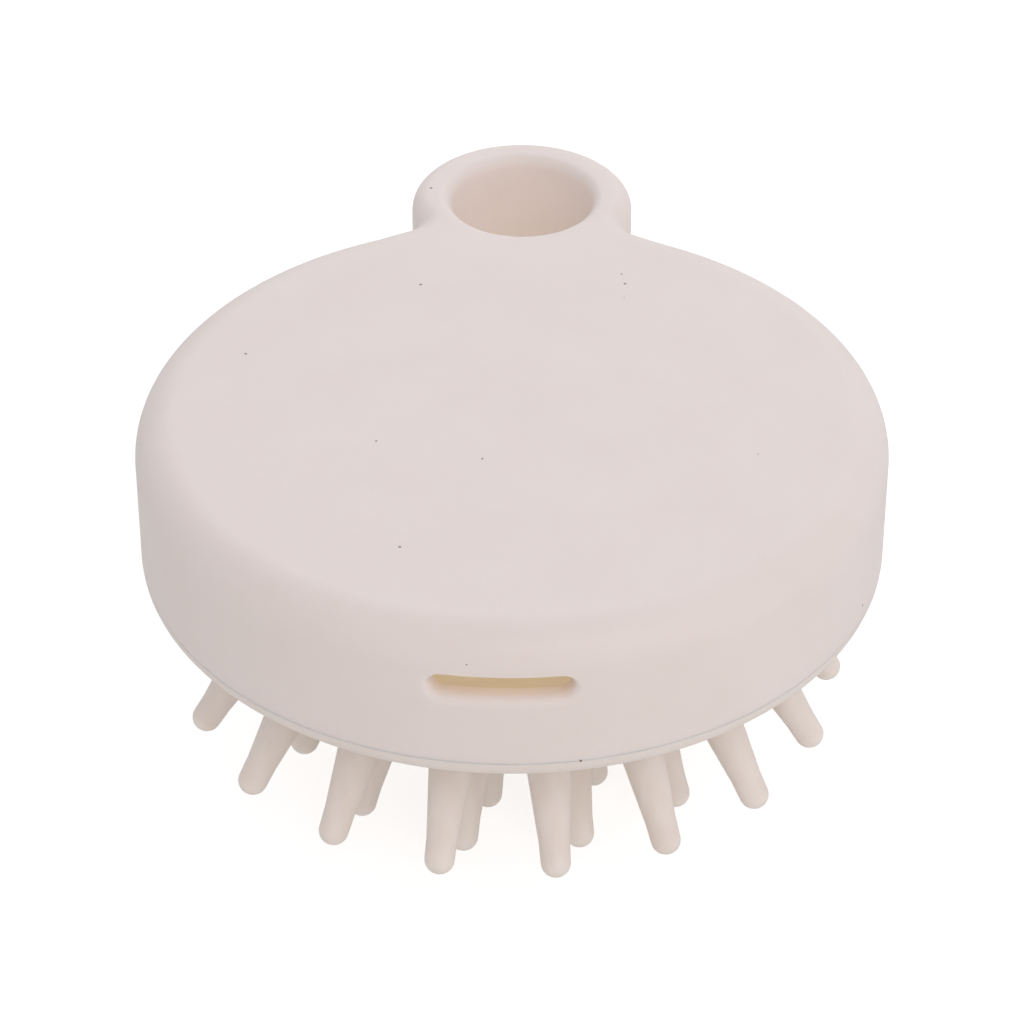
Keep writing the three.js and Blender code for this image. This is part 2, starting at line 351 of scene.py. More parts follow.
# %% [markdown]
# ## The handle shell
# The shell is one moulding: a lid with a deeply rounded edge, a finger ring with its bore, a round-ended
# drain slot in the front wall, and inside a hollow with a boss round the bore and twelve ribs. It could be
# cut with booleans, but those leave ragged faces that shade badly on a smooth matt plastic. So the wall is
# a grid of rows carried round the outline, and a window of that grid is left out and filled with a tighter
# grid for the slot.

# %% Outer wall and rounded top edge
EDGE_STEPS = 3
FILLET_ROWS = 12
WINDOW_FILLET_ROWS = 4  # rows of the top fillet that belong to the slot's window
WINDOW_DROP = 5.2  # height of straight wall in the window
WINDOW_ROWS = 9
LOWER_ROWS = 5
FACE_MARGIN = 0.15  # narrow flat rim that keeps the shading of a flat face level

fillet_turn = np.linspace(0, np.pi / 2, FILLET_ROWS + 1)[1:]
wall_top = TOP_Z - TOP_FILLET
window_bottom = wall_top - WINDOW_DROP


def rounded_edge(radius, steps):
    """Inset and rise of a quarter circle that starts on an edge's lower face and ends on the wall."""
    turn = np.linspace(0, np.pi / 2, steps + 1)
    return radius * (1 - np.sin(turn)), radius * (1 - np.cos(turn))


def outer_wall():
    """Rows up the wall, then rows round the fillet. A row at turn t of the fillet is moved in by radius
    times (1 - cos t) and lies radius times (1 - sin t) under the top face. Near the ring the fillet is
    smaller, and the straight wall below it is drawn out to meet it."""
    inset, rise = rounded_edge(SEAM_EDGE, EDGE_STEPS)
    lower = np.linspace(SHELL_BOTTOM + SEAM_EDGE, window_bottom, LOWER_ROWS + 1)[1:]
    window = np.linspace(window_bottom, wall_top, WINDOW_ROWS + 1)[1:]
    straight = np.concatenate([SHELL_BOTTOM + rise, lower, window])
    stretch = np.clip((straight - window_bottom) / (wall_top - window_bottom), 0, 1)
    straight_z = straight[:, None] + stretch[:, None] * (TOP_FILLET - top_fillet)[None]
    straight_inset = np.concatenate([inset, np.zeros(len(straight) - len(inset))])
    straight_inset = np.repeat(straight_inset[:, None], len(edge), axis=1)
    fillet_inset = (1 - np.cos(fillet_turn))[:, None] * top_fillet[None]
    fillet_z = TOP_Z - (1 - np.sin(fillet_turn))[:, None] * top_fillet[None]
    rim_inset = top_fillet[None] + FACE_MARGIN
    rim_z = np.full((1, len(edge)), TOP_Z)
    insets = np.vstack([straight_inset, fillet_inset, rim_inset])
    heights = np.vstack([straight_z, fillet_z, rim_z])
    return at_height(moved_in(insets), heights)


wall = outer_wall()
window_first_row = EDGE_STEPS + LOWER_ROWS
window_last_row = window_first_row + WINDOW_ROWS + WINDOW_FILLET_ROWS
window_columns = 2 * FRONT_COLUMNS
outside_window = np.ones((len(wall) - 1, len(edge)), bool)
outside_window[window_first_row:window_last_row, :window_columns] = False
print("outer wall rows:", len(wall), "window rows:", window_first_row, "to", window_last_row)

# %% [markdown]
# The hollow is drawn about the disc axis in polar form: for each direction, the wall is as far away as the
# inner circle, or nearer where a rib or the boss of the bore stands in the way. A smooth minimum of those
# distances rounds the corners, as a mould would. Its first columns match the window in the outer wall.

# %% Hollow, boss, ribs and snap groove
RIB_STEP = np.radians(2.5)
RIB_FLANK = 0.12
BLEND_WIDTH = 0.8
GROOVE_DEPTH = 0.4
GROOVE_HALF = 1.0
FLANGE_TOP = pad_high[2]
RIB_CLEARANCE = 0.3
RIB_BOTTOM = FLANGE_TOP + RIB_CLEARANCE
GROOVE_Z = (BASE_TOP + FLANGE_TOP) / 2
CEILING_Z = TOP_Z - CEILING
CEILING_ROWS = 4


def hollow_angles():
    """Angles from the front, anticlockwise: the window's own columns, then even steps with extra ones that
    mark both edges of every rib."""
    window = np.linspace(-FRONT_ANGLE, FRONT_ANGLE, window_columns + 1)
    rib_middles = (np.arange(RIB_COUNT) + 0.5) * 2 * np.pi / RIB_COUNT
    half = RIB_THICKNESS / 2 / INNER_RADIUS
    flank = RIB_FLANK / INNER_RADIUS
    rib_edges = (rib_middles[:, None] + np.array([-half - flank, -half, half, half + flank])).ravel()
    rest = np.arange(FRONT_ANGLE + RIB_STEP, 2 * np.pi - FRONT_ANGLE - RIB_STEP / 2, RIB_STEP)
    clear = np.abs(rest[:, None] - rib_edges[None]).min(axis=1) > 2 * flank
    return np.concatenate([window, np.sort(np.concatenate([rest[clear], rib_edges]))])


def soft_minimum(a, b, width):
    """The smaller of two distances, rounded where they are within a width of each other."""
    share = np.clip(0.5 + 0.5 * (b - a) / width, 0, 1)
    return b + (a - b) * share - width * share * (1 - share)


def rib_share(angle):
    """1 on a rib, 0 between ribs, with steep flanks."""
    spacing = 2 * np.pi / RIB_COUNT
    from_middle = np.abs((angle % spacing) - spacing / 2) * INNER_RADIUS
    return 1 - smoothstep((from_middle - RIB_THICKNESS / 2) / RIB_FLANK)


def near_side(from_back, radius):
    """Distance from the disc axis to the near side of a circle round the ring's axis, at an angle a from
    +Y: D cos a minus the root of r^2 - (D sin a)^2, with D the distance between the axes and r the circle's
    radius. Far away where the circle isn't met."""
    inside_root = radius**2 - (RING_DISTANCE * np.sin(from_back)) ** 2
    met = (inside_root > 0) & (np.cos(from_back) > 0)
    near = RING_DISTANCE * np.cos(from_back) - np.sqrt(np.maximum(inside_root, 0))
    return np.where(met, near, 2 * DISC_RADIUS)


def ceiling_inset(height):
    """How far the rounded corner under the ceiling draws the inner wall in at a height."""
    climb = np.clip(height - (CEILING_Z - CEILING_FILLET), 0, CEILING_FILLET)
    return CEILING_FILLET - np.sqrt(CEILING_FILLET**2 - climb**2)


hollow_angle = hollow_angles()


def hollow_wall():
    """Rows from the bottom of the shell to the ceiling. Under the ribs the wall is plain, with the groove
    that the base ring snaps into, and a repeated row at the foot of the ribs makes their flat ends."""
    groove = GROOVE_Z + np.array([-GROOVE_HALF, 0, GROOVE_HALF])
    plain = np.array([SHELL_BOTTOM, *groove, RIB_BOTTOM])
    window = np.linspace(window_bottom, CEILING_Z - CEILING_FILLET, WINDOW_ROWS + 1)
    turn = np.linspace(0, np.pi / 2, 2 * CEILING_ROWS + 1)[1:]
    corner = CEILING_Z - CEILING_FILLET + CEILING_FILLET * np.sin(turn)
    heights = np.concatenate([plain, [RIB_BOTTOM], window, corner])
    reach = INNER_RADIUS - ceiling_inset(heights)
    reach[2] += GROOVE_DEPTH
    ribbed = np.arange(len(heights)) >= len(plain)
    ribs = rib_share(hollow_angle)[None] * ribbed[:, None]
    radius = reach[:, None] + ribs * (INNER_RADIUS - RIB_DEPTH - reach[:, None])
    to_boss = near_side(hollow_angle - np.pi, BOSS_RADIUS)
    radius = soft_minimum(radius, to_boss[None], BLEND_WIDTH)
    direction = np.stack([np.sin(hollow_angle), -np.cos(hollow_angle)], axis=1)
    flat = DISC_AXIS + radius[..., None] * direction[None]
    return at_height(flat, heights[:, None]), len(plain) + 1


hollow, hollow_window_row = hollow_wall()
hollow_window_rows = WINDOW_ROWS + CEILING_ROWS
outside_hollow_window = np.ones((len(hollow) - 1, len(hollow_angle)), bool)
hollow_rows = slice(hollow_window_row, hollow_window_row + hollow_window_rows)
outside_hollow_window[hollow_rows, :window_columns] = False
print("hollow:", hollow.shape[0], "rows of", hollow.shape[1], "points")

# %% [markdown]
# The slot runs straight through the wall. Round it the wall is a ring of points between the window's edge
# and a round-ended outline: each point of the window's edge is matched to the nearest point of the slot's
# middle line, and the slot's edge lies on the way there. From the outer edge the surface turns in over a
# lip, runs through the wall and opens on the inside in the same way. The lip is crisp above the slot, where
# the mould parts, and well rounded below it, so the lower edge catches the light.

# %% Drain slot
SURROUND_ROWS = 4
LIP_ROWS = 7
TUNNEL_ROWS = 4
INNER_EDGE_ROWS = 3


def around(window):
    """The points round the edge of a window of rows and columns, once round."""
    return np.vstack([window[0, :-1], window[:-1, -1], window[-1, :0:-1], window[:0:-1, 0]])


def unrolled(points):
    """Wall points as distance along the disc's edge and height, so that the wall lies flat."""
    from_axis = points[..., :2] - DISC_AXIS
    angle = np.arctan2(from_axis[..., 0], -from_axis[..., 1])
    return np.stack([angle * DISC_RADIUS, points[..., 2]], axis=-1)


def fillet_inset_at(height):
    """How far the top fillet draws the outer wall in at a height."""
    climb = np.clip(height - wall_top, 0, TOP_FILLET)
    return TOP_FILLET - np.sqrt(TOP_FILLET**2 - climb**2)


def on_wall(flat, depth):
    """Puts unrolled points back on the wall at a depth under its outer surface: the radius is the disc's,
    less the depth, less the inset of the top fillet outside and of the ceiling's corner inside."""
    share = depth / WALL
    inset = fillet_inset_at(flat[..., 1]) * (1 - share) + ceiling_inset(flat[..., 1]) * share
    radius = DISC_RADIUS - depth - inset
    angle = flat[..., 0] / DISC_RADIUS
    x = DISC_AXIS[0] + radius * np.sin(angle)
    y = DISC_AXIS[1] - radius * np.cos(angle)
    return np.stack([x, y, flat[..., 1]], axis=-1)


def drain_slot():
    """Rows from the outer window's edge, over the lip and through the wall, to the inner window's edge."""
    outer = unrolled(around(wall[window_first_row : window_last_row + 1, : window_columns + 1]))
    inner_window = hollow[hollow_window_row : hollow_window_row + hollow_window_rows + 1]
    inner = unrolled(around(inner_window[:, : window_columns + 1]))
    half_line = (SLOT_WIDTH - SLOT_HEIGHT) / 2
    along = np.clip(outer[:, 0], -half_line, half_line)
    middle_line = np.stack([along, np.full(len(outer), SLOT_Z)], axis=1)
    away = outer - middle_line
    away /= np.linalg.norm(away, axis=1)[:, None]
    half = SLOT_HEIGHT / 2
    lip = np.interp(away[:, 1], (-1, 0, 1), SLOT_LIPS)
    rows = []
    lip_edge = middle_line + (half + lip)[:, None] * away
    for share in np.linspace(0, 1, SURROUND_ROWS + 1)[:-1]:
        rows.append(on_wall(outer + share * (lip_edge - outer), 0.0))
    for turn in np.linspace(0, np.pi / 2, LIP_ROWS + 1):
        reach = half + lip * (1 - np.sin(turn))
        rows.append(on_wall(middle_line + reach[:, None] * away, lip * (1 - np.cos(turn))))
    inner_start = WALL - SLOT_INNER_EDGE
    for depth in np.linspace(lip, inner_start, TUNNEL_ROWS + 1)[1:]:
        rows.append(on_wall(middle_line + half * away, depth))
    for turn in np.linspace(0, np.pi / 2, INNER_EDGE_ROWS + 1)[1:]:
        reach = half + SLOT_INNER_EDGE * (1 - np.cos(turn))
        rows.append(on_wall(middle_line + reach * away, inner_start + SLOT_INNER_EDGE * np.sin(turn)))
    inner_edge = middle_line + (half + SLOT_INNER_EDGE) * away
    for share in np.linspace(0, 1, SURROUND_ROWS + 1)[1:]:
        rows.append(on_wall(inner_edge + share * (inner - inner_edge), WALL))
    return np.stack(rows)


slot = drain_slot()
print("slot:", slot.shape[0], "rows of", slot.shape[1], "points")

# %% Bore of the finger ring
BORE_COLUMNS = 120
BORE_EDGE = 0.15
BORE_ROWS = 8
LIP_STEPS = 9


def bore(bottom, top, bottom_edge, top_lip):
    """Rows up the bore, rounded at both ends: a quarter circle widens it at the bottom and another at the
    top. A last row just past the lip lies flat in the top face."""
    low_widening, low_rise = rounded_edge(bottom_edge, EDGE_STEPS)
    middle_z = np.linspace(bottom + bottom_edge, top - top_lip, BORE_ROWS + 1)[1:]
    high_drop, high_widening = rounded_edge(top_lip, LIP_STEPS)
    widening = np.concatenate([low_widening, np.zeros(len(middle_z)), high_widening[1:]])
    height = np.concatenate([bottom + low_rise, middle_z, top - high_drop[1:]])
    radius = BORE_RADIUS + np.append(widening, widening[-1] + FACE_MARGIN)
    height = np.append(height, top)
    rows = np.stack([circle(RING_AXIS, r, BORE_COLUMNS) for r in radius])
    return at_height(rows, height[:, None])


shell_bore = bore(SHELL_BOTTOM, TOP_Z, BORE_EDGE, BORE_LIP)
print("bore radius", BORE_RADIUS, "lip reaches", round(BORE_RADIUS + BORE_LIP, 2))

# %% Flat faces of the shell
TOP_SPARE = 1.0
CEILING_SPARE = 2.0
CEILING_SPACING = 5.0


def distances(points):
    """How far each point is from the axis of the disc and from the axis of the ring."""
    return np.linalg.norm(points - DISC_AXIS, axis=1), np.linalg.norm(points - RING_AXIS, axis=1)


def in_top_face(points):
    """Points well inside the flat top: on the disc, and clear of the bore."""
    from_disc, from_ring = distances(points)
    on_disc = from_disc < DISC_RADIUS - TOP_FILLET - FACE_MARGIN - TOP_SPARE
    return on_disc & (from_ring > BORE_RADIUS + BORE_LIP + FACE_MARGIN + TOP_SPARE)


def in_ceiling(points):
    """Points of the ceiling that are clear of the ribs and of the boss."""
    from_disc, from_ring = distances(points)
    return (from_disc < INNER_RADIUS - RIB_DEPTH - CEILING_SPARE) & (from_ring > BOSS_RADIUS + CEILING_SPARE)


top_face = flat_face([wall[-1, :, :2], shell_bore[-1, :, :2]], TOP_Z, in_top_face)
ceiling_face = flat_face([hollow[-1, :, :2]], CEILING_Z, in_ceiling, spacing=CEILING_SPACING)
shell_foot = flat_face([wall[0, :, :2], hollow[0, :, :2], shell_bore[0, :, :2]], SHELL_BOTTOM)
print("triangles in the top face:", len(top_face[1]))

# %% [markdown]
# ## Colours and nodes
# Colours are written as the eye sees them, as sRGB hex values, and turned to the linear values that Blender
# mixes. One small function adds a node with its settings and links, so that each finish below reads as a
# list.

# %% Helpers for materials


def linear(hex_colour):
    """An sRGB hex colour as linear red, green, blue and alpha, by the two-part sRGB curve: a straight line
    for the darkest tones and a power of 2.4 above them."""
    channels = np.array([int(hex_colour[i : i + 2], 16) for i in (1, 3, 5)]) / 255
    low, high = channels / 12.92, ((channels + 0.055) / 1.055) ** 2.4
    return (*np.where(channels <= 0.04045, low, high).tolist(), 1.0)


def add(tree, kind, settings=None, **inputs):
    """Adds a node. settings are its own properties, and each input is a value or another node's output. An
    input is named by its label with underscores for spaces, or by in and its number."""
    node = tree.nodes.new(kind)
    for name, value in (settings or {}).items():
        setattr(node, name, value)
    for name, value in inputs.items():
        numbered = name.startswith("in") and name[2:].isdigit()
        socket = node.inputs[int(name[2:]) if numbered else name.replace("_", " ")]
        if isinstance(value, bpy.types.NodeSocket):
            tree.links.new(value, socket)
        else:
            socket.default_value = value
    return node


def maths(tree, operation, first, second):
    """The output of a Math node for two values or outputs."""
    return add(tree, "ShaderNodeMath", {"operation": operation}, in0=first, in1=second).outputs[0]


def mixed(tree, share, first, second):
    """A colour between two others, of which share is the second."""
    rgba = {"data_type": "RGBA"}
    return add(tree, "ShaderNodeMix", rgba, Factor=share, in6=first, in7=second).outputs[2]


def ranged(tree, value, low, high, start=0.0):
    """A value put on a new range: low where it is at the start, high where it is 1."""
    ends = {"From_Min": start, "To_Min": low, "To_Max": high}
    return add(tree, "ShaderNodeMapRange", None, Value=value, **ends).outputs[0]


def new_finish(name):
    """An empty material with its output, and the node tree to fill."""
    material = bpy.data.materials.new(name)
    material.use_nodes = True
    tree = material.node_tree
    tree.nodes.clear()
    output = tree.nodes.new("ShaderNodeOutputMaterial")
    return material, tree, output


# %% [markdown]
# ## Fine matt polypropylene
# The handle is an off-white polypropylene, moulded against a spark-eroded tool. The eye sees a broad, soft
# sheen with no clear reflection, a grain of about a fifth of a millimetre that only just breaks it up, very
# faint clouding of the colour, and a few specks of dust that static holds on the top. The plastic lets a
# little light through, which turns its recesses a warm tan instead of grey. The grain, the clouds and the
# dust are noise on Object coordinates, which are metres here, so each scale is one over a real size.

# %% Make the handle's finish
GRAIN = 0.22 * MM  # drawn a little coarser than the real 0.1 mm so that it shows
CLOUD = 9 * MM
DUST_SPACING = 3.5 * MM
DUST_SIZE = 0.15 * MM
DUST_SHARE = 0.25  # share of the cells that hold a speck
GRAIN_BUMP = 0.2
GRAIN_DEPTH = 0.05 * MM
DULLER, GLOSSIER = 0.05, 0.04  # how far the grain moves the roughness up and down
PLASTIC_IOR = 1.49
PLASTIC_SCATTER = 0.35 * MM


def dust(tree, place, spacing, size, share):
    """1 on a speck of dust, 0 elsewhere: cells of a Voronoi pattern, of which only a share holds a
    speck."""
    cells = add(tree, "ShaderNodeTexVoronoi", {"voronoi_dimensions": "3D"}, Vector=place, Scale=1 / spacing)
    chosen = add(tree, "ShaderNodeSeparateColor", None, Color=cells.outputs["Color"])
    rare = maths(tree, "LESS_THAN", chosen.outputs[0], share)
    near = maths(tree, "LESS_THAN", cells.outputs["Distance"], size / spacing)
    return maths(tree, "MULTIPLY", rare, near)


def matt_polypropylene(name, colour, cloud_colour, roughness):
    """The matt moulded plastic of the handle."""
    material, tree, output = new_finish(name)
    place = add(tree, "ShaderNodeTexCoord").outputs["Object"]
    clouds = add(tree, "ShaderNodeTexNoise", None, Vector=place, Scale=1 / CLOUD, Detail=3.0, Roughness=0.55)
    clouded = mixed(tree, clouds.outputs["Fac"], linear(colour), linear(cloud_colour))
    specks = dust(tree, place, DUST_SPACING, DUST_SIZE, DUST_SHARE)
    noise = add(tree, "ShaderNodeTexNoise", None, Vector=place, Scale=1 / GRAIN, Detail=2.0, Roughness=0.6)
    grain = noise.outputs["Fac"]
    bump = add(tree, "ShaderNodeBump", None, Strength=GRAIN_BUMP, Distance=GRAIN_DEPTH, Height=grain)
    plastic = add(
        tree,
        "ShaderNodeBsdfPrincipled",
        None,
        Base_Color=mixed(tree, specks, clouded, linear("#85776c")),
        Roughness=ranged(tree, grain, roughness - GLOSSIER, roughness + DULLER),
        IOR=PLASTIC_IOR,
        Subsurface_Weight=1.0,
        Subsurface_Radius=(1.0, 0.95, 0.9),
        Subsurface_Scale=PLASTIC_SCATTER,
        Normal=bump.outputs["Normal"],
    )
    tree.links.new(plastic.outputs[0], output.inputs["Surface"])
    return material


matt_shell = matt_polypropylene("polypropylene, spark-textured, off-white", "#f2e8e2", "#ede2da", 0.56)
matt_band = matt_polypropylene("polypropylene, spark-textured, base band", "#f1e7df", "#ece1d7", 0.54)
print("matt finishes made")

# %% Join the shell
shell = joined(
    "shell_skin",
    [
        surface(wall, keep=outside_window),
        surface(hollow, keep=outside_hollow_window),
        surface(slot),
        surface(shell_bore),
        top_face,
        ceiling_face,
        shell_foot,
    ],
    matt_shell,
)
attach(shell, "handle")
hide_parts("handle_shell")

# %% [markdown]
# ## The base ring
# The base ring is the lowest band of the handle, a flat plate under the shell with the same outline. It
# holds the edge of the pad, and an upstand with a small bead snaps it into the groove of the shell. Only
# its outer edge, its underside and the parting line above it show. The band is the outline carried down
# round a small fillet, and its two flat faces are filled in the same way as the top of the shell.

# %% Band, opening and upstand
OPENING_RADIUS = 31.5
OPENING_COLUMNS = 180
OPENING_EDGE = 0.5
OPENING_STEPS = 5
BAND_STEPS = 7
UPSTAND_CLEARANCE = 0.3
UPSTAND_OUTSIDE = INNER_RADIUS - UPSTAND_CLEARANCE
UPSTAND_WALL = 1.2
UPSTAND_END = np.radians(12.6)  # where the upstand stops beside the boss, from +Y
BEAD_HALF = 0.7
UPSTAND_COLUMNS = 150
BORE_FOOT_EDGE = 0.6  # rounding of the bore at the underside
BORE_SEAM_EDGE = 0.1  # and at the parting line


def band():
    """Rows from the parting line down the wall and round the lower fillet to the underside."""
    edge_inset, edge_drop = rounded_edge(SEAM_EDGE, EDGE_STEPS)
    low_rise, low_inset = rounded_edge(BASE_FILLET, BAND_STEPS)
    inset = np.concatenate([edge_inset, low_inset, [BASE_FILLET + FACE_MARGIN]])
    height = np.concatenate([BASE_TOP - edge_drop, UNDERSIDE_Z + low_rise, [UNDERSIDE_Z]])
    return at_height(moved_in(inset), height[:, None])


def opening_wall():
    """Rows up the round opening for the pad, rounded below and lightly broken above."""
    low_widening, low_rise = rounded_edge(OPENING_EDGE, OPENING_STEPS)
    widening = np.concatenate([[OPENING_EDGE + FACE_MARGIN], low_widening, [0]])
    height = np.concatenate([[UNDERSIDE_Z], UNDERSIDE_Z + low_rise, [BASE_TOP]])
    rows = np.stack([circle(DISC_AXIS, OPENING_RADIUS + wider, OPENING_COLUMNS) for wider in widening])
    return at_height(rows, height[:, None])


def upstand():
    """The section of the upstand, up its outside over the bead and down its inside, carried round an arc
    that stops short of the boss. Rows are points of the section, columns are steps round the arc."""
    inside = UPSTAND_OUTSIDE - UPSTAND_WALL
    section = np.array(
        [
            [UPSTAND_OUTSIDE, BASE_TOP],
            [UPSTAND_OUTSIDE, GROOVE_Z - BEAD_HALF],
            [UPSTAND_OUTSIDE + GROOVE_DEPTH, GROOVE_Z],
            [UPSTAND_OUTSIDE, GROOVE_Z + BEAD_HALF],
            [UPSTAND_OUTSIDE, FLANGE_TOP],
            [inside, FLANGE_TOP],
            [inside, BASE_TOP],
        ]
    )
    angle = np.linspace(np.pi / 2 + UPSTAND_END, 5 * np.pi / 2 - UPSTAND_END, UPSTAND_COLUMNS)
    direction = np.stack([np.cos(angle), np.sin(angle)], axis=1)
    flat = DISC_AXIS + section[:, None, :1] * direction[None]
    return at_height(flat, section[:, 1:])


def end_cap(column):
    """One polygon over an end of the upstand."""
    return column, [list(range(len(column)))]


band_rows = band()
opening_rows = opening_wall()
upstand_rows = upstand()
base_bore = bore(UNDERSIDE_Z, BASE_TOP, BORE_FOOT_EDGE, BORE_SEAM_EDGE)[:-1]
upstand_foot = np.vstack([upstand_rows[0, :, :2], upstand_rows[-1, ::-1, :2]])


OPENING_SPARE = 1.6
RIM_SPARE = 1.2
BORE_SPARE = 2.25


def in_underside(points):
    """Points of the band round the opening, clear of every edge."""
    from_disc, from_ring = distances(points)
    inner, outer = OPENING_RADIUS + OPENING_SPARE, DISC_RADIUS - BASE_FILLET - RIM_SPARE
    return (from_disc > inner) & (from_disc < outer) & (from_ring > BORE_RADIUS + BORE_SPARE)


underside_loops = [band_rows[-1, :, :2], opening_rows[0, :, :2], base_bore[0, :, :2]]
underside_face = flat_face(underside_loops, UNDERSIDE_Z, in_underside)
upper_loops = [band_rows[0, :, :2], opening_rows[-1, :, :2], base_bore[-1, :, :2], upstand_foot]
upper_face = flat_face(upper_loops, BASE_TOP)

base = joined(
    "base_skin",
    [
        surface(band_rows),
        surface(opening_rows),
        surface(upstand_rows, closed=False),
        end_cap(upstand_rows[:, 0]),
        end_cap(upstand_rows[:, -1]),
        surface(base_bore),
        underside_face,
        upper_face,
    ],
    matt_band,
)
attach(base, "handle")
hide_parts("base_ring")

# %% [markdown]
# ## The fan of pins
# Every pin stands square on the domed pad, so all their axes meet in one point above the handle. That point
# is the centre of the sphere through the pivots, which the joints give: a point p on a sphere with centre c
# and radius r obeys p.p = 2 p.c + (r.r - c.c), which is linear in c and in the last term, so least squares
# finds both.

# %% Find the centre of the fan


def fan_centre(points):
    """Centre of the sphere through the points, by least squares."""
    table = np.column_stack([2 * points, np.ones(len(points))])
    answer = np.linalg.lstsq(table, (points**2).sum(axis=1), rcond=None)[0]
    return answer[:3]


pivots = {joint["child"]: np.array(joint["pos_m"]) / MM for joint in frame["joints"]}
FAN = fan_centre(np.array(list(pivots.values())))
PIVOT_RADIUS = float(np.linalg.norm(pivots["center_pin"] - FAN))
PIVOT_HEIGHT = 1.0  # pivots above the surface of the pad
PAD_RADIUS = PIVOT_RADIUS - PIVOT_HEIGHT
print("centre of the fan:", FAN.round(2), "pivots at", round(PIVOT_RADIUS, 2))

# %% [markdown]
# ## Soft elastomer
# The pad and the pins are one moulding of a thermoplastic elastomer, poured soft enough to bend against the
# scalp. It is smoother than the handle, so each pin carries a narrow highlight along its length, and it is
# milky: light goes about a millimetre into it and comes out warmer. Fine flow marks run along the pins, and
# finger marks make the gloss uneven. The same smear noise, drawn out along the pins, also mixes the colour in
# faint lighter and darker bands: painted highlight streaks. Random-walk subsurface scattering gives the
# milkiness.

# %% Make the elastomer
FLOW = 1.3 * MM
FLOW_STRETCH = 0.12  # the flow marks are drawn out upwards, along the pins, by one over this
# size of the smears that vary the gloss, and of the painted highlight streaks: colour bands along the pins
SMEAR_AND_PAINTED_STREAK = 2.2 * MM
FLOW_BUMP = 0.4
FLOW_DEPTH = 0.1 * MM
RUBBER_DULLER, RUBBER_GLOSSIER = 0.08, 0.06  # how far the smears move the roughness up and down
RUBBER_IOR = 1.5
RUBBER_SCATTER = 0.8 * MM


def milky_elastomer(name, colour, painted_streak_colour, roughness):
    """The soft moulded elastomer of the pins and the pad."""
    material, tree, output = new_finish(name)
    place = add(tree, "ShaderNodeTexCoord").outputs["Object"]
    drawn_out = add(tree, "ShaderNodeMapping", None, Vector=place, Scale=(1.0, 1.0, FLOW_STRETCH))
    # Painted highlight: this noise, drawn out along the pins, mixes the two colours in faint lighter and
    # darker bands that stand in for highlight streaks. It also varies the roughness.
    clouds = add(tree, "ShaderNodeTexNoise", None, Vector=drawn_out.outputs[0], Scale=1 / SMEAR_AND_PAINTED_STREAK, Detail=1.0)
    smears_and_painted_streaks = clouds.outputs["Fac"]
    flow = add(tree, "ShaderNodeTexNoise", None, Vector=drawn_out.outputs[0], Scale=1 / FLOW, Detail=2.0)
    height = flow.outputs["Fac"]
    bump = add(tree, "ShaderNodeBump", None, Strength=FLOW_BUMP, Distance=FLOW_DEPTH, Height=height)
    rubber = add(
        tree,
        "ShaderNodeBsdfPrincipled",
        None,
        Base_Color=mixed(tree, smears_and_painted_streaks, linear(colour), linear(painted_streak_colour)),
        Roughness=ranged(tree, smears_and_painted_streaks, roughness - RUBBER_GLOSSIER, roughness + RUBBER_DULLER),
        IOR=RUBBER_IOR,
        Subsurface_Weight=1.0,
        Subsurface_Radius=(1.0, 0.92, 0.84),
        Subsurface_Scale=RUBBER_SCATTER,
        Normal=bump.outputs["Normal"],
    )
    tree.links.new(rubber.outputs[0], output.inputs["Surface"])
    return material


# The second colour of each finish is the darker side of the painted highlight streaks.
pin_finish = milky_elastomer("thermoplastic elastomer, gloss-moulded pins", "#f4ece5", "#e9ddd1", 0.36)
pad_finish = milky_elastomer("thermoplastic elastomer, satin-moulded pad", "#ebe1d2", "#e5d8c4", 0.42)
print("elastomer finishes made")

# %% [markdown]
# ## The pad
# The pad is a shallow dome that hangs out of the opening of the base ring, with a flat flange whose edge is
# held between the shell and the ring. It is turned about the disc axis: a row of the grid is one height of
# its profile. Where the boss of the bore comes close, the flange is cut back, so its radius changes round
# the axis.

# %% Turn the pad
PAD_INSIDE_RADIUS = 41.4
PAD_SIDE_GAP = 0.5
PAD_EDGE_RADIUS = OPENING_RADIUS - PAD_SIDE_GAP
FLANGE_RADIUS = 34.0
FLANGE_THICKNESS = 2.0
FLANGE_BOTTOM = FLANGE_TOP - FLANGE_THICKNESS
FLANGE_EDGE = 0.4
BOSS_CLEARANCE = 0.3
PAD_COLUMNS = 144
DOME_ROWS = 26
POLE_ANGLE = 0.004  # the first row of the dome, round the pole that a cap closes
FLANGE_ROWS = 7
JUST_PAST = 0.01


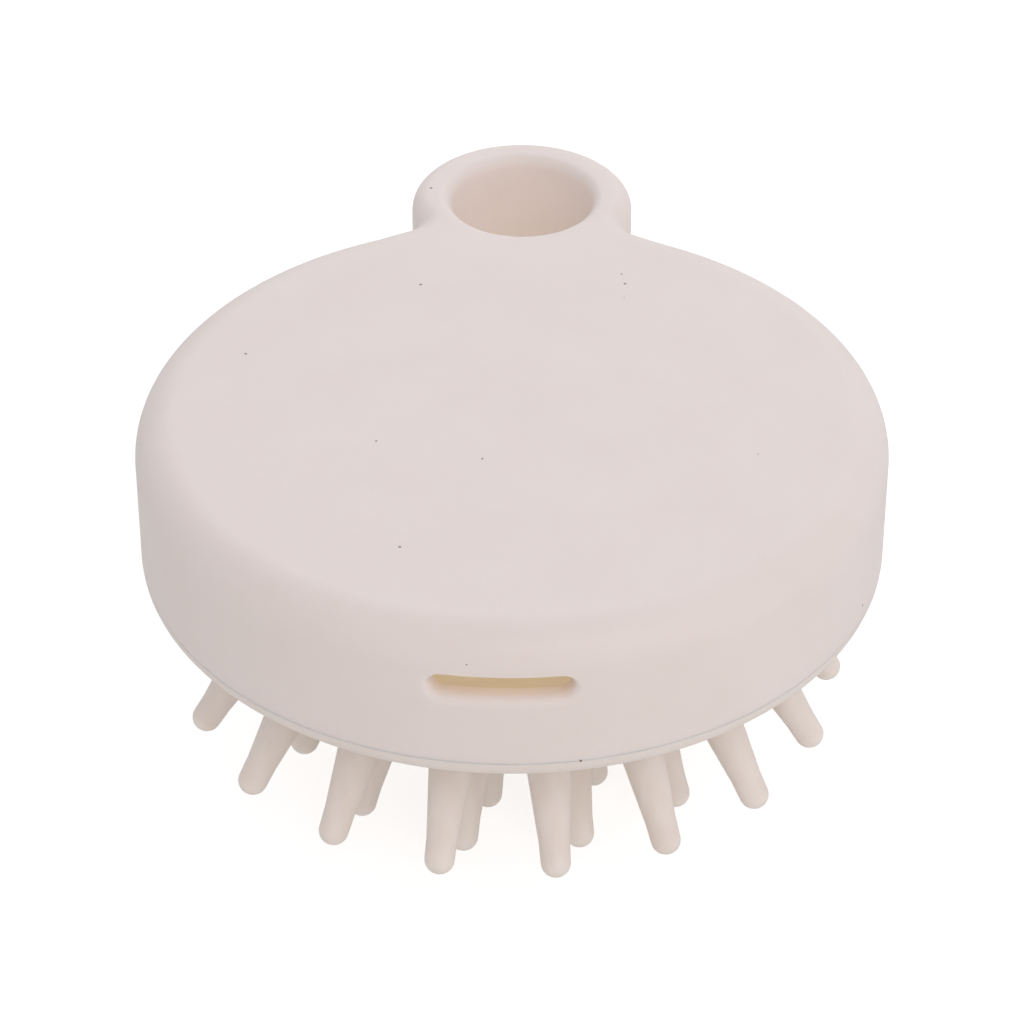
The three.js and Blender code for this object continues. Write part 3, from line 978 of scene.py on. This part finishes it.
def pad():
    """Profile rows as radius and height: out along the dome from its pole, round the flange, and back along
    the inside of the dome. On a dome of radius r, a row at angle a from straight down has radius r sin a
    and lies r cos a under the centre of the fan."""
    rim = np.arcsin(PAD_EDGE_RADIUS / PAD_RADIUS)
    out = np.linspace(POLE_ANGLE, rim, DOME_ROWS)
    inner_rim = np.arccos((FAN[2] - FLANGE_TOP) / PAD_INSIDE_RADIUS)
    back = np.linspace(inner_rim, POLE_ANGLE, DOME_ROWS)
    turn = np.linspace(-np.pi / 2, np.pi / 2, FLANGE_ROWS)
    flange_middle = (FLANGE_BOTTOM + FLANGE_TOP) / 2
    flange_half = (FLANGE_TOP - FLANGE_BOTTOM) / 2
    flange = FLANGE_RADIUS - FLANGE_EDGE + FLANGE_EDGE * np.cos(turn)
    flange_z = flange_middle + np.sign(turn) * (flange_half - FLANGE_EDGE) + FLANGE_EDGE * np.sin(turn)
    radius = np.concatenate([PAD_RADIUS * np.sin(out), flange, PAD_INSIDE_RADIUS * np.sin(back)])
    outside_z = FAN[2] - PAD_RADIUS * np.cos(out)
    inside_z = FAN[2] - PAD_INSIDE_RADIUS * np.cos(back)
    height = np.concatenate([outside_z, flange_z, inside_z])
    angle = np.linspace(0, 2 * np.pi, PAD_COLUMNS, endpoint=False)
    reach = np.broadcast_to(radius[:, None], (len(radius), PAD_COLUMNS))
    limit = near_side(angle - np.pi / 2, BOSS_RADIUS + BOSS_CLEARANCE)
    held = soft_minimum(reach, limit[None], BLEND_WIDTH)
    reach = np.where(reach > PAD_EDGE_RADIUS + JUST_PAST, held, reach)
    direction = np.stack([np.cos(angle), np.sin(angle)], axis=1)
    return at_height(DISC_AXIS + reach[..., None] * direction[None], height[:, None])


pad_rows = pad()
pad_skin = joined(
    "pad_skin",
    [surface(pad_rows), closing_cap(pad_rows[0]), closing_cap(pad_rows[-1])],
    pad_finish,
)
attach(pad_skin, "handle")
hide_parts("pin_pad")

# %% [markdown]
# ## The pins
# A pin is a slim cone that ends in a short, almost straight nose with a round tip. At its root it flares
# into the pad, because the two are one moulding.

# %% Turn the pins
PIN_LENGTH = 15.0  # from the pivot to the very end
PIN_ROOT_RADIUS = 2.6
PIN_TIP_RADIUS = 1.5
PIN_NOSE = 3.5
PIN_SHOULDER = 0.05
FLARE_REACH = 0.9
FLARE_HEIGHT = 1.1
FLARE_POWER = 2.4
FLARE_ROWS = 9
CONE_ROWS = 14
NOSE_ROWS = 4
TIP_ROWS = 12
SUNK = 0.35  # how deep the skin of a pin starts under the surface of the pad
PIN_COLUMNS = 36
UPRIGHT = 1e-6  # a pin leans less than this when it points straight down


def pin_profile():
    """Radius at each distance from the centre of the fan. The cone narrows in a straight line from the root
    to the nose. Near the pad a flare is added that dies away as a power of the distance left. The tip is a
    half circle of the nose's radius."""
    nose_starts = PIVOT_RADIUS + PIN_LENGTH - PIN_NOSE
    tip_centre = PIVOT_RADIUS + PIN_LENGTH - PIN_TIP_RADIUS
    flare = np.linspace(PAD_RADIUS - SUNK, PAD_RADIUS + FLARE_HEIGHT, FLARE_ROWS)
    cone = np.linspace(PAD_RADIUS + FLARE_HEIGHT, nose_starts, CONE_ROWS)[1:]
    body = np.concatenate([flare, cone])
    nose_radius = PIN_TIP_RADIUS + PIN_SHOULDER
    slope = (PIN_ROOT_RADIUS - nose_radius) / (nose_starts - PIVOT_RADIUS)
    radius = nose_radius + slope * (nose_starts - body)
    left = np.clip((PAD_RADIUS + FLARE_HEIGHT - body) / (FLARE_HEIGHT + SUNK), 0, 1)
    radius = radius + FLARE_REACH * left**FLARE_POWER
    nose = np.linspace(nose_starts, tip_centre, NOSE_ROWS)[1:]
    nose_share = (nose - nose_starts) / (tip_centre - nose_starts)
    turn = np.linspace(0, np.pi / 2, TIP_ROWS)[1:-1]
    distance = np.concatenate([body, nose, tip_centre + PIN_TIP_RADIUS * np.sin(turn)])
    radius = np.concatenate([radius, nose_radius - PIN_SHOULDER * nose_share, PIN_TIP_RADIUS * np.cos(turn)])
    return distance, radius


def pin_surface(direction):
    """The profile turned about a line from the centre of the fan: centre + distance * direction + radius *
    (cos t * side + sin t * other side)."""
    distance, radius = pin_profile()
    side = np.cross(direction, (0.0, 0.0, 1.0))
    length = np.linalg.norm(side)
    side = np.array([1.0, 0.0, 0.0]) if length < UPRIGHT else side / length
    other = np.cross(direction, side)
    turn = np.linspace(0, 2 * np.pi, PIN_COLUMNS, endpoint=False)
    round_it = np.cos(turn)[:, None] * side + np.sin(turn)[:, None] * other
    return FAN + distance[:, None, None] * direction + radius[:, None, None] * round_it[None]


for pin_name, pivot in pivots.items():
    direction = (pivot - FAN) / np.linalg.norm(pivot - FAN)
    rows = pin_surface(direction)
    surfaces = [surface(rows), closing_cap(rows[0]), closing_cap(rows[-1])]
    pin = joined(f"{pin_name}_skin", surfaces, pin_finish)
    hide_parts(pin_name)
    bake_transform(pin)

# %% [markdown]
# ## Floor, light and camera
# The brush stands on its middle pins on a white studio table. A table and a backdrop that are bright
# themselves send light up under the brush, so the pins stay pale. One large soft light above and in front
# models the top and its rounded edge, a weaker one from the right keeps that side a little brighter than
# the left, and one from behind lights the far side of the ring.

# %% Floor
FLOOR_SIZE = 30.0  # m
FLOOR_DROP = 0.0003  # m under the tips of the pins
TABLE_GLOW = 0.27  # what the table sends up under the brush
TABLE_SEEN = 0.72  # what the camera sees of it


def white_table():
    """A translucent white table lit from below: glow and white paint added together. Its glow is stronger
    for what the camera sees directly than for the light it sends up under the brush, so that the background
    is a clean white and the walls of the brush still keep their shade."""
    material, tree, output = new_finish("white acrylic light table")
    seen = add(tree, "ShaderNodeLightPath").outputs["Is Camera Ray"]
    strength = ranged(tree, seen, TABLE_GLOW, TABLE_SEEN)
    glow = add(tree, "ShaderNodeEmission", None, Color=linear("#ffffff"), Strength=strength)
    paint = add(tree, "ShaderNodeBsdfDiffuse", None, Color=linear("#c2c0be"))
    both = add(tree, "ShaderNodeAddShader", None, in0=glow.outputs[0], in1=paint.outputs[0])
    tree.links.new(both.outputs[0], output.inputs["Surface"])
    return material


floor_mesh = bpy.data.meshes.new("floor")
half_floor = FLOOR_SIZE / 2
corner_signs = ((-1, -1), (1, -1), (1, 1), (-1, 1))
floor_corners = [(x * half_floor, y * half_floor, -FLOOR_DROP) for x, y in corner_signs]
floor_mesh.from_pydata(floor_corners, [], [(0, 1, 2, 3)])
floor_mesh.materials.append(white_table())
floor = bpy.data.objects.new("floor", floor_mesh)
bpy.context.scene.collection.objects.link(floor)

# %% Light
AIR_LEFT = 0.585
AIR_RIGHT = 0.685
AIR_SEEN = 1.1


def studio_air():
    """Even light from all round, a little stronger from +X than from -X. The camera itself sees it as
    white."""
    world = bpy.data.worlds.new("studio")
    world.use_nodes = True
    tree = world.node_tree
    background = tree.nodes["Background"]
    background.inputs["Color"].default_value = linear("#fcfbff")
    direction = add(tree, "ShaderNodeTexCoord").outputs["Generated"]
    sideways = add(tree, "ShaderNodeSeparateXYZ", None, Vector=direction).outputs["X"]
    even = ranged(tree, sideways, AIR_LEFT, AIR_RIGHT, start=-1.0)
    seen = add(tree, "ShaderNodeLightPath").outputs["Is Camera Ray"]
    strength = maths(tree, "MAXIMUM", even, maths(tree, "MULTIPLY", seen, AIR_SEEN))
    tree.links.new(strength, background.inputs["Strength"])
    return world


bpy.context.scene.world = studio_air()


def soft_light(name, place, target, size, watts, colour):
    """A square area light that faces a target, all in metres."""
    data = bpy.data.lights.new(name, "AREA")
    data.shape = "SQUARE"
    data.size = size
    data.energy = watts
    data.color = linear(colour)[:3]
    light = bpy.data.objects.new(name, data)
    light.location = place
    light.rotation_mode = "QUATERNION"
    light.rotation_quaternion = (Vector(target) - Vector(place)).to_track_quat("-Z", "Y")
    bpy.context.scene.collection.objects.link(light)
    return light


body_middle = (0.0, DISC_AXIS[1] * MM, TOP_Z * MM)
soft_light("key", (0.25, -0.62, 0.62), body_middle, size=0.5, watts=1.7, colour="#faf8ff")
soft_light("right", (0.75, -0.20, 0.35), body_middle, size=0.4, watts=0.21, colour="#fff9f4")
soft_light("back", (0.05, 0.72, 0.50), body_middle, size=0.5, watts=1.35, colour="#faf8ff")

# %% [markdown]
# The walls of the real brush let some light through, and the hollow behind the drain slot glows a warm tan.
# A weak, warm lamp under the ceiling of the hollow stands for that light. It is out of the camera's sight.

# %% Glow inside the hollow
GLOW_DROP = 1.0  # mm under the ceiling


def hidden_glow(name, place, target, size, watts, colour):
    """A soft light out of the camera's sight, with its place and target in millimetres."""
    lamp = soft_light(name, np.array(place) * MM, np.array(target) * MM, size, watts, colour)
    lamp.visible_camera = False
    return lamp


glow_from = (0.0, DISC_AXIS[1], CEILING_Z - GLOW_DROP)
glow_to = (0.0, DISC_AXIS[1], 0.0)
hidden_glow("hollow_glow", glow_from, glow_to, size=0.045, watts=0.0042, colour="#fff6e0")

# %% [markdown]
# Two more weak lamps of the same kind follow. One lies behind the slot and warms its floor and its lower
# lip. The other lies low in the bore of the ring and faces up, for the light that comes through the walls
# of the bore.

# %% Glow behind the slot and in the bore
SLOT_GLOW_BEHIND = 4.0  # mm inside the wall
SLOT_GLOW_ABOVE = 2.2
SLOT_GLOW_WIDTH = 12 * MM
SLOT_GLOW_HEIGHT = 1.6 * MM
BORE_GLOW_RISE = 1.5  # mm above the underside
wall_inside = DISC_AXIS[1] - INNER_RADIUS
glow_from = (0.0, wall_inside + SLOT_GLOW_BEHIND, SLOT_Z + SLOT_GLOW_ABOVE)
glow_to = (0.0, wall_inside - WALL, SLOT_Z - SLOT_HEIGHT / 2)
lamp = hidden_glow("slot_glow", glow_from, glow_to, size=SLOT_GLOW_WIDTH, watts=0.0001, colour="#ffd88a")
lamp.data.shape = "RECTANGLE"
lamp.data.size_y = SLOT_GLOW_HEIGHT

glow_from = (0.0, RING_AXIS[1], UNDERSIDE_Z + BORE_GLOW_RISE)
glow_to = (0.0, RING_AXIS[1], TOP_Z)
hidden_glow("bore_glow", glow_from, glow_to, size=0.010, watts=0.00014, colour="#fff0dc")

# %% Camera
CAMERA_DISTANCE = 388.0
CAMERA_ELEVATION = np.radians(35.9)
CAMERA_AZIMUTH = np.radians(1.49)
CAMERA_LENS = 135.9
LOOK_BEFORE_AXIS = 6.57  # the camera looks at a point this far in front of the disc axis
LOOK_UNDER_TOP = 8.0


def camera_place():
    """Where the camera stands and what it looks at: back from the target by its distance, at its
    elevation."""
    forward = np.array([-np.sin(CAMERA_AZIMUTH), np.cos(CAMERA_AZIMUTH), 0.0])
    centre = np.array([*DISC_AXIS, TOP_Z])
    target = centre - LOOK_BEFORE_AXIS * forward - (0, 0, LOOK_UNDER_TOP)
    rise = np.array([0.0, 0.0, np.sin(CAMERA_ELEVATION)])
    return target - CAMERA_DISTANCE * (np.cos(CAMERA_ELEVATION) * forward - rise), target


stand, look_at = camera_place()
camera_data = bpy.data.cameras.new("camera")
camera_data.lens = CAMERA_LENS
camera_data.sensor_width = 36.0
camera_data.clip_start = 0.01
camera_data.clip_end = 50.0
camera = bpy.data.objects.new("camera", camera_data)
camera.location = stand * MM
camera.rotation_mode = "QUATERNION"
camera.rotation_quaternion = Vector(look_at - stand).to_track_quat("-Z", "Y")
bpy.context.scene.collection.objects.link(camera)
bpy.context.scene.camera = camera
bpy.context.scene.view_settings.view_transform = "Standard"
print("camera at", (stand).round(1), "mm")
